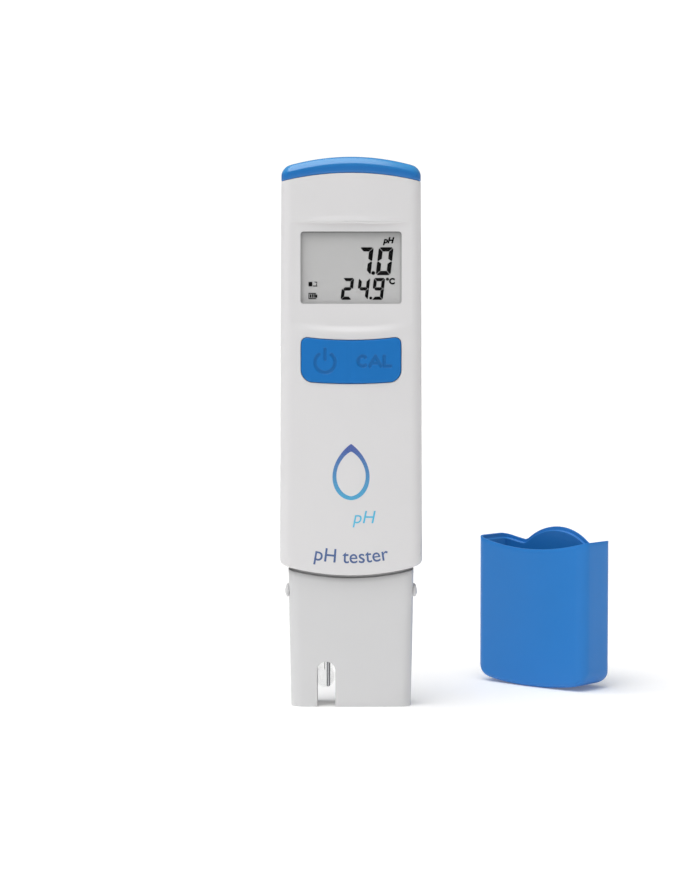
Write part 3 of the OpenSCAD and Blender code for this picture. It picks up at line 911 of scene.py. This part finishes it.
def cap_point(half, station, row):
    kind, value = row[0], row[1]
    sideness = side_share(station)
    fillet = mix(CAP_FILLET, CAP_CORNER, sideness)
    across = deep = {"rim": value, "inner": CAP_WALL, "floor": CAP_WALL + value}.get(kind, 0.0)
    radius = max(EDGE_RADIUS - across * 0.8, 0.6)
    if kind == "round":
        across, deep = (r * (1 - math.cos(value)) for r in (CAP_CORNER, CAP_FILLET))
        radius = EDGE_RADIUS - 1.8 * (1 - math.cos(value))
    elif kind == "base":
        across, deep = CAP_CORNER + value - CAP_FILLET, value
        radius = 1.6
    depth = max(HALF_DEPTH - deep, 0.0)
    x, y = on_outline(station, CAP_HALF_WIDTH - across, depth, min(radius, depth + 0.01))
    base = max(0.0, CAP_BASE_ARC - math.sqrt(CAP_BASE_ARC ** 2 - x * x) - 0.05)
    rim = cap_rim(half, station, x)
    if kind == "base":
        z = base
    elif kind == "round":
        z = base + fillet * (1 - math.sin(value))
    elif kind == "wall":
        z = mix(base + fillet, rim - 0.22, value)
    elif kind == "rim":
        z = rim + row[2]
    elif kind == "inner":
        z = mix(base + CAP_WALL + 0.3, rim - STEP_DEEP - 0.15, value)
    else:
        z = base + CAP_WALL
    return Vector((x, half * (max(y, 0.0) if depth > 0.02 else 0.0), z))


cap = wrapped(cap_stations, cap_rows, cap_point)
bmesh.ops.recalc_face_normals(cap, faces=cap.faces[:])
bmesh.ops.rotate(cap, matrix=Matrix.Rotation(math.radians(CAP_TURN), 3, "Z"),
                 verts=cap.verts[:], cent=(0, 0, 0))
bmesh.ops.translate(cap, vec=(cap_middle.x, cap_middle.y, 0), verts=cap.verts[:])
hand_over(cap, "cap_moulding", "cap", cap_blue, ["protective_cap"])

# %% [markdown]
# ## The rubber keys
#
# Both keys are halves of one silicone pad. Its legends are pressed in: a
# power sign and three letters. Each key is a fine grid, and every point sinks by
# a depth that comes from its distance to the nearest stroke. That distance is
# simple to work out for straight strokes and arcs, and gives a rounded groove,
# which a boolean wouldn't.

# %% Strokes of the legends
def near_line(x, z, x0, z0, x1, z1):
    """Distance from a point to a straight stroke."""
    dx, dz = x1 - x0, z1 - z0
    t = ((x - x0) * dx + (z - z0) * dz) / (dx * dx + dz * dz)
    t = min(max(t, 0.0), 1.0)
    return math.hypot(x - x0 - t * dx, z - z0 - t * dz)


def near_arc(x, z, cx, cz, across, up, middle, half_angle):
    """Distance from a point to an open arc, centred on the angle middle."""
    px, pz = (x - cx) / across, (z - cz) / up
    turn = (math.degrees(math.atan2(pz, px)) - middle + 180) % 360 - 180
    turn = math.radians(min(max(turn, -half_angle), half_angle) + middle)
    return math.hypot(x - cx - across * math.cos(turn), z - cz - up * math.sin(turn))


KEY_MIDDLE = 99.1
POWER_X, POWER_Z, POWER_RADIUS = -7.35, 98.75, 2.85
LETTER_HALF_HEIGHT = 1.4


def near_power(x, z):
    return min(
        near_arc(x, z, POWER_X, POWER_Z, POWER_RADIUS, POWER_RADIUS, -90, 142),
        near_line(x, z, POWER_X, POWER_Z + 0.9, POWER_X, POWER_Z + 3.8))


def near_letters(x, z):
    low, high = KEY_MIDDLE - LETTER_HALF_HEIGHT, KEY_MIDDLE + LETTER_HALF_HEIGHT
    return min(
        near_arc(x, z, 3.35, KEY_MIDDLE, 1.3, LETTER_HALF_HEIGHT, 180, 128),
        near_line(x, z, 5.4, low, 6.95, high), near_line(x, z, 6.95, high, 8.5, low),
        near_line(x, z, 5.95, low + 0.85, 7.95, low + 0.85),
        near_line(x, z, 9.45, high, 9.45, low), near_line(x, z, 9.45, low, 11.2, low))


# %% Key pads
PAD_HALF = 14.2
PAD_LOW, PAD_HIGH = 92.75, 105.05
PAD_PROUD = 0.35
PAD_BACK = -6.3
PAD_EDGE = 0.5
STROKE_HALF, STROKE_DEEP = 0.45, 0.22
PAD_CELL = 0.14
PAD_FOOT_ROUND, PAD_TOP_ROUND = 3.15, 1.95       # radii of its lower and upper corners
pad_box = (-PAD_HALF, PAD_HALF, PAD_LOW, PAD_HIGH)


def key_pad(name, side, near_stroke, node):
    """One half of the pad, from the middle out to its rounded edge."""
    across = [side * p for p in steps(0, PAD_HALF, PAD_CELL) + [PAD_HALF]]
    if side < 0:
        across.reverse()
    up = steps(PAD_LOW, PAD_HIGH, PAD_CELL) + [PAD_HIGH]

    def place(column, row):
        x0, z0 = across[column], up[row]
        from_edge = min(PAD_HALF - abs(x0), z0 - PAD_LOW, PAD_HIGH - z0)
        x, z = round_corner(x0, z0, pad_box, (PAD_FOOT_ROUND, PAD_TOP_ROUND), 1.5)
        for radius, low in ((PAD_FOOT_ROUND, True), (PAD_TOP_ROUND, False)):
            dx = abs(x) - (PAD_HALF - radius)
            dz = (PAD_LOW + radius - z) if low else (z - PAD_HIGH + radius)
            if dx > 0 and dz > 0:
                from_edge = radius - math.hypot(dx, dz)
        deep = quarter(max(from_edge, 0.0), PAD_EDGE)
        height = bent(x, z)
        stroke = near_stroke(x, height)
        deep += STROKE_DEEP * (1 - smooth((stroke - STROKE_HALF + 0.15) / 0.3))
        deep += 0.07 * (1 - smooth(abs(x) / 1.5))        # the valley between the keys
        y = -(HALF_DEPTH - x * x / (2 * CROWN_RADIUS)) - PAD_PROUD + deep
        return Vector((x, y, height))

    pad = sheet(len(across), len(up), place)
    # sunk marks the legends' strokes, where the rubber gets painted shade.
    sunk = pad.verts.layers.float.new("sunk")
    for v in pad.verts:
        v[sunk] = 1 - smooth((near_stroke(v.co.x, v.co.z) - STROKE_HALF + 0.1) / 0.2)
    face_outwards(pad)
    if sum(f.normal.y for f in pad.faces) > 0:
        bmesh.ops.reverse_faces(pad, faces=pad.faces[:])
    for v in grow(pad):
        v.co.y = PAD_BACK
    bmesh.ops.recalc_face_normals(pad, faces=pad.faces[:])
    piece = hand_over(pad, name, None, key_blue_legend_shade, [node])
    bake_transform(piece)
    return piece


KEY_COLOUR = shade(2, 110, 186)


def rubber_with_painted_legend_shade():
    """The key rubber, with painted shade that makes it a little darker where a legend is pressed
    in.
    """
    pot = Pot("key_blue_legend_shade", Roughness=0.46, Specular_IOR_Level=0.3)
    sunk = pot.node("ShaderNodeAttribute", {"attribute_name": "sunk"}, output=2)
    fine = pot.noise(0.22, 3)
    slow = pot.blend(pot.noise(9, 1), tone(KEY_COLOUR, 0.97), tone(KEY_COLOUR, 1.03))
    # Painted shade in the pressed-in legends, read from the sunk mark.
    pot.feed("Base Color", pot.blend(sunk * 0.8, slow, tone(KEY_COLOUR, 0.72)))
    pot.feed("Roughness", fine * 0.14 + 0.39)
    pot.bump(fine, 0.16, 0.03)
    return pot.material


key_blue_legend_shade = rubber_with_painted_legend_shade()
key_pad("power_key_pad", -1, near_power, "key_power")
key_pad("cal_key_pad", 1, near_letters, "key_cal")

# %% [markdown]
# ## The display
#
# The display shows a reading of 7.0 pH at 24.9 degrees. Each segment is a
# flat six-sided bar, which is a circle of six points, stretched. Its ends are
# cut so that neighbours meet in a mitre at a corner of the figure, and nearly
# touch half-way up. A figure is its lit segments, leant over a little.

# %% Segments and figures
LCD_FRONT = box_mm("lcd_panel")[0].y
INK_FRONT = LCD_FRONT - 0.03
LEAN = math.tan(math.radians(6.5))
LIT = {"7": "abc", "0": "abcdef", "2": "abged", "4": "fgbc", "9": "abcfgd"}

# How each kind of end is cut, in bar widths: how far the outer corner, the tip
# and the inner corner stand back, and how far the tip lies towards the outside.
ENDS = {"point": (0.5, 0.0, 0.5, 0.0), "corner": (0.36, 0.18, 1.0, 0.32),
        "middle": (0.16, 0.0, 0.56, 0.26)}


def bar(bm, x, z, length, thick, upright, outside, ends):
    """One segment: a circle of six points, drawn out long and thin."""
    made = bmesh.ops.create_circle(bm, segments=6, radius=1, cap_ends=True)["verts"]
    for v in made:
        end, side = (1 if v.co.y > 0 else -1), math.copysign(1, v.co.x)
        outer, tip, inner, lean = ENDS[ends[1] if end > 0 else ends[0]]
        if abs(v.co.x) < 0.1:
            back, wide = tip, outside * lean
        else:
            back, wide = (outer if side == outside else inner), side / 2
        long = end * (length / 2 - thick * back)
        across, up = (wide * thick, long) if upright else (long, wide * thick)
        v.co = Vector((x + across, 0, z + up))


def figure(bm, lit, right, low, width, height, thick):
    """A seven-segment figure; right and low are its outer edges at the foot."""
    gap = thick * 0.07
    flat, tall = width - 2 * gap, height / 2 - 1.5 * gap
    left, half = right - width, thick / 2
    low_part, high_part = height / 4 + 0.25 * gap, height * 3 / 4 - 0.25 * gap
    both, up_end, down_end = ("corner",) * 2, ("middle", "corner"), ("corner", "middle")
    spots = {"a": (width / 2, height - half, flat, False, 1, both),
             "g": (width / 2, height / 2, width - thick * 0.9, False, 1, ("point",) * 2),
             "d": (width / 2, half, flat, False, -1, both),
             "f": (half, high_part, tall, True, -1, up_end),
             "e": (half, low_part, tall, True, -1, down_end),
             "b": (width - half, high_part, tall, True, 1, up_end),
             "c": (width - half, low_part, tall, True, 1, down_end)}
    first = len(bm.verts)
    for letter in lit:
        across, up, length, upright, outside, ends = spots[letter]
        bar(bm, left + across, low + up, length, thick, upright, outside, ends)
    bmesh.ops.remove_doubles(bm, verts=bm.verts[:], dist=1e-5)
    bm.verts.ensure_lookup_table()
    for v in bm.verts[first:]:
        v.co.x += (v.co.z - low) * LEAN


def patch(bm, x0, x1, z0, z1):
    """A plain rectangle of ink."""
    made = bmesh.ops.create_grid(bm, x_segments=1, y_segments=1, size=0.5)["verts"]
    for v in made:
        v.co = Vector((mix(x0, x1, v.co.x + 0.5), 0, mix(z0, z1, v.co.y + 0.5)))


def dot(bm, x, z, radius, count=20):
    made = bmesh.ops.create_circle(bm, segments=count, radius=radius, cap_ends=True)["verts"]
    for v in made:
        v.co = Vector((x + v.co.x, 0, z + v.co.y))


def lettering(text, height, x, z, align="LEFT", shear=0.0, heavy=0.0):
    """Plain letters as a flat mesh, standing upright, with their foot at z."""
    words = bpy.data.curves.new(text, "FONT")
    words.body = text
    words.align_x = align
    words.size = height / 0.7
    words.shear = shear
    words.offset = heavy
    words.resolution_u = 6
    carrier = bpy.data.objects.new("carrier", words)
    scene.collection.objects.link(carrier)
    bpy.context.view_layer.update()
    flat = bpy.data.meshes.new_from_object(
        carrier.evaluated_get(bpy.context.evaluated_depsgraph_get()))
    bm = bmesh.new()
    bm.from_mesh(flat)
    bpy.data.objects.remove(carrier)
    bpy.data.curves.remove(words)
    bpy.data.meshes.remove(flat)
    bmesh.ops.remove_doubles(bm, verts=bm.verts[:], dist=1e-4)
    for v in bm.verts:
        v.co = Vector((x + v.co.x, 0, z + v.co.y))
    return bm


def lay_ink(bm, name, front, material, thickness=0.02):
    """Lays flat ink on a surface: front(x, z) is how far forward it lies."""
    bmesh.ops.triangulate(bm, faces=[f for f in bm.faces if len(f.verts) > 4])
    bmesh.ops.recalc_face_normals(bm, faces=bm.faces[:])
    turned = [f for f in bm.faces if f.normal.y > 0]
    bmesh.ops.reverse_faces(bm, faces=turned)
    back = set(grow(bm))
    for v in bm.verts:
        v.co.y = -front(v.co.x, v.co.z) + (0.0 if v in back else -thickness)
    bmesh.ops.recalc_face_normals(bm, faces=bm.faces[:])
    return hand_over(bm, name, "housing", material)


# %% Figures and signs on the display
ink = bmesh.new()
LARGE, SMALL = (7.9, 1.2), (6.2, 0.92)           # height and stroke of the figures
for digit, right, width in (("7", 5.55, 4.0), ("0", 11.2, 4.2)):
    figure(ink, LIT[digit], right, 123.5, width, *LARGE)
dot(ink, 6.3, 124.1, 0.55)
for digit, right in (("2", 0.2), ("4", 4.75), ("9", 9.0)):
    figure(ink, LIT[digit], right, 116.5, 3.2, *SMALL)
dot(ink, 5.6, 117.0, 0.42)
join(ink, lettering("pH", 1.6, 9.15, 132.6, shear=0.25, heavy=0.12))
join(ink, lettering("\u00b0C", 1.6, 9.9, 121.0, heavy=0.13))
for z in (116.7, 118.2):                         # battery sign, with three bars
    patch(ink, -12.1, -9.9, z, z + 0.26)
patch(ink, -12.1, -11.85, 117.0, 118.16)
patch(ink, -10.0, -9.6, 117.1, 118.0)
for x in (-11.7, -11.1, -10.5):
    patch(ink, x, x + 0.46, 117.1, 118.1)
patch(ink, -12.1, -11.0, 120.3, 121.6)           # buffer sign, with a small 7
patch(ink, -10.85, -9.6, 120.3, 120.55)
figure(ink, LIT["7"], -9.75, 120.5, 0.85, 1.15, 0.22)
lay_ink(ink, "display_figures", lambda x, z: -INK_FRONT, segment_black)

# %% [markdown]
# The window over the display is a clear moulded pane with a softly rounded rim.
# It sits in the opening with a little air behind it, so that the display's own
# surface stays crisp. A flat grid, rounded at its corners, is thickened and bevelled.

# %% Window pane
PANE_BACK = -6.25
pane_box = (-OPENING_HALF + 0.12, OPENING_HALF - 0.12, WINDOW_LOW + 0.12, WINDOW_HIGH - 0.12)
pane_x = mirrored(steps(0, 13.4, 2.7) + steps(13.4, pane_box[1], 0.14) + [pane_box[1]])
pane_z = (steps(pane_box[2], pane_box[2] + 0.84, 0.14) + steps(pane_box[2] + 0.84, 134.87, 2.7)
          + steps(134.87, pane_box[3], 0.14) + [pane_box[3]])


def pane_point(column, row):
    x, z = round_corner(pane_x[column], pane_z[row], pane_box, (0.8, 0.8), 1.0)
    return Vector((x, PANE_FRONT, z))


pane = sheet(len(pane_x), len(pane_z), pane_point)
for v in grow(pane):
    v.co.y = PANE_BACK
bmesh.ops.recalc_face_normals(pane, faces=pane.faces[:])
soften(pane, 0.1, segments=2)
hand_over(pane, "window_pane", "housing", pane_clear, ["display_window"])

# %% [markdown]
# ## Printing on the body
#
# A printed mark is a very thin layer of ink that follows the crowned front.
# Flat letters are made first, then every point is laid on the surface. The mark
# is a plain water drop with a small pH beside it, and its ink runs from dark
# blue to cyan.

# %% Printed inks
def printed(name, stops, low, high):
    """Ink whose colour runs from one height to another."""
    pot = Pot(name, Roughness=0.35)
    height = pot.node("ShaderNodeMapRange", None, {
        "Value": pot.axis(2), "From Min": low * MM, "From Max": high * MM})
    ramp = pot.node("ShaderNodeValToRGB", {"stops": stops}, {"Fac": height})
    pot.feed("Base Color", pot.blend(pot.noise(0.3) * 0.12, ramp, (1, 1, 1, 1)))
    return pot.material


drop_ink = printed("drop_ink", [(0.0, shade(30, 180, 220)), (1.0, shade(26, 70, 156))], 54, 74)
word_ink = printed("word_ink", [(0.0, shade(16, 66, 130)), (1.0, shade(24, 80, 146))], 40, 46)


def on_front(x, z):
    """How far forward the crowned front lies."""
    return HALF_DEPTH - x * x / (2 * CROWN_RADIUS) + 0.005


# %% Water drop, pH and the arched words
DROP_Z, DROP_HALF_WIDTH, DROP_HALF_HEIGHT = 67.6, 5.2, 8.0
DROP_STROKE = 1.1
drop = bmesh.new()
for inset in (0.0, DROP_STROKE):
    ring = bmesh.ops.create_circle(drop, segments=96, radius=1)["verts"]
    for v in ring:
        turn = math.atan2(v.co.x, -v.co.y)       # 0 at the foot, half a turn at the tip
        share = abs(turn) / math.pi
        wide = math.sin(turn) * (1 - share ** 3) ** 0.9 * 1.12
        v.co = Vector((wide * (DROP_HALF_WIDTH - inset), 0,
                       DROP_Z - math.cos(turn) * (DROP_HALF_HEIGHT - inset * (1 + share))))
bmesh.ops.bridge_loops(drop, edges=drop.edges[:])
join(drop, lettering("pH", 3.6, 0.4, 53.0, shear=0.2, heavy=0.004))
lay_ink(drop, "printed_drop", on_front, drop_ink)

words = lettering("pH tester", 3.9, 0, 0, align="CENTER", heavy=0.03)
bmesh.ops.triangulate(words, faces=words.faces[:])
WORD_ARC, WORD_FOOT = 60.0, 41.6
for v in words.verts:
    turn = v.co.x / WORD_ARC
    radius = WORD_ARC - v.co.z
    v.co.x = radius * math.sin(turn)
    v.co.z = WORD_FOOT + WORD_ARC - radius * math.cos(turn)
lay_ink(words, "printed_words", on_front, word_ink)

# %% [markdown]
# ## Finishes for the parts that keep their CAD shape
#
# Every part that stays as it is still needs a real finish. The frame's parts
# are named, and each gets the material of what it's made of.

# %% Finishes for kept parts
KEPT = (
    (seal_black, ("housing_gasket", "battery_cover_seal", "probe_seal")),
    (lcd_grey, ("lcd_panel",)), (frame_white, ("lcd_frame",)), (board_green, ("circuit_board",)),
    (carbon_black, ("lcd_contact_strips", "power_contact_pill", "cal_contact_pill",
                    "battery_holder")),
    (chip_black, ("microcontroller", "input_amplifier")),
    (cell_steel, ("clock_crystal", "board_screws", "coin_cell")),
    (ceramic_tan, ("capacitors", "thermistor")), (key_blue, ("keypad_web",)),
    (contact_brass, ("battery_contact_negative", "battery_contact_positive")),
    (shell_white, ("battery_cover",)), (potting_white, ("electrode_plug", "electrode_top_seal")),
    (glass_clear, ("glass_stem", "glass_bulb")), (wire_silver, ("reference_wire",)),
    (needle_steel, ("temperature_needle",)), (junction_cloth_white, ("cloth_junction",)),
    (lead_red, ("sensor_leads",)),
)
thread = bmesh.new()
wire_low, wire_high = box_mm("measuring_wire")
bulb_low, bulb_high = box_mm("glass_bulb")
wire_middle = (wire_low + wire_high) / 2
bmesh.ops.create_cone(thread, segments=16, radius1=0.12, radius2=0.12, cap_ends=True,
                      depth=wire_high.z - wire_low.z - 3)
bmesh.ops.translate(thread, verts=thread.verts[:], vec=(
    (bulb_low.x + bulb_high.x) / 2, wire_middle.y, wire_middle.z + 1.5))
hand_over(thread, "measuring_thread", "housing", wire_silver, ["measuring_wire"])
finished = set()
for material, nodes in KEPT:
    for node in nodes:
        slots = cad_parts[node].data.materials
        if not slots:
            slots.append(material)
        for place in range(len(slots)):
            slots[place] = material
        finished.add(node)
bare = [n for n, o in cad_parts.items() if n not in finished and not o.hide_render]
print("kept CAD parts finished:", len(finished), "left bare:", bare)

# %% [markdown]
# ## Studio
#
# The pen stands on a pale floor under soft light from the upper left, with the
# camera a little above its middle.

# %% Floor, lights and camera
def plain_stage(name, shape, colour, glow):
    """A pale stage piece, which isn't part of the pen."""
    pot = Pot(name, Roughness=0.7, Emission_Strength=glow)
    pot.shader.inputs["Emission Color"].default_value = (1, 1, 1, 1)
    pot.feed("Base Color", pot.blend(pot.noise(400, 1), tone(colour, 0.99), colour))
    piece = hand_over(shape, name, None, pot.material)
    return piece


floor_shape = bmesh.new()
bmesh.ops.create_grid(floor_shape, x_segments=1, y_segments=1, size=6000)
plain_stage("studio_floor", floor_shape, (0.965, 0.96, 0.95, 1), 0.12)
dome_shape = bmesh.new()
bmesh.ops.create_icosphere(dome_shape, subdivisions=4, radius=6000)
dome = plain_stage("studio_backdrop", dome_shape, (0, 0, 0, 1), 1.02)
dome.visible_diffuse = False         # it is seen, but the world lights the pen
dome.visible_shadow = False
dome.visible_glossy = False

world = bpy.data.worlds.new("studio_world")
scene.world = world
world.use_nodes = True
world.node_tree.nodes["Background"].inputs["Color"].default_value = (1, 1, 1, 1)
world.node_tree.nodes["Background"].inputs["Strength"].default_value = 0.33
scene.view_settings.view_transform = "Standard"

sun = bpy.data.lights.new("key_light", "SUN")
sun.energy = 2.65
sun.angle = math.radians(60)
key_light = bpy.data.objects.new("key_light", sun)
scene.collection.objects.link(key_light)
key_light.rotation_euler = Vector((0.28, 0.25, -0.927)).to_track_quat("-Z", "Y").to_euler()

camera = bpy.data.objects.new("camera", bpy.data.cameras.new("camera"))
scene.collection.objects.link(camera)
camera.location = (-0.0003, -0.699, 0.1153)
aim = Vector((-0.0003, 0, 0.07785)) - camera.location
camera.rotation_euler = aim.to_track_quat("-Z", "Y").to_euler()
camera.data.lens = 100.87
camera.data.clip_start = 0.01
scene.camera = camera
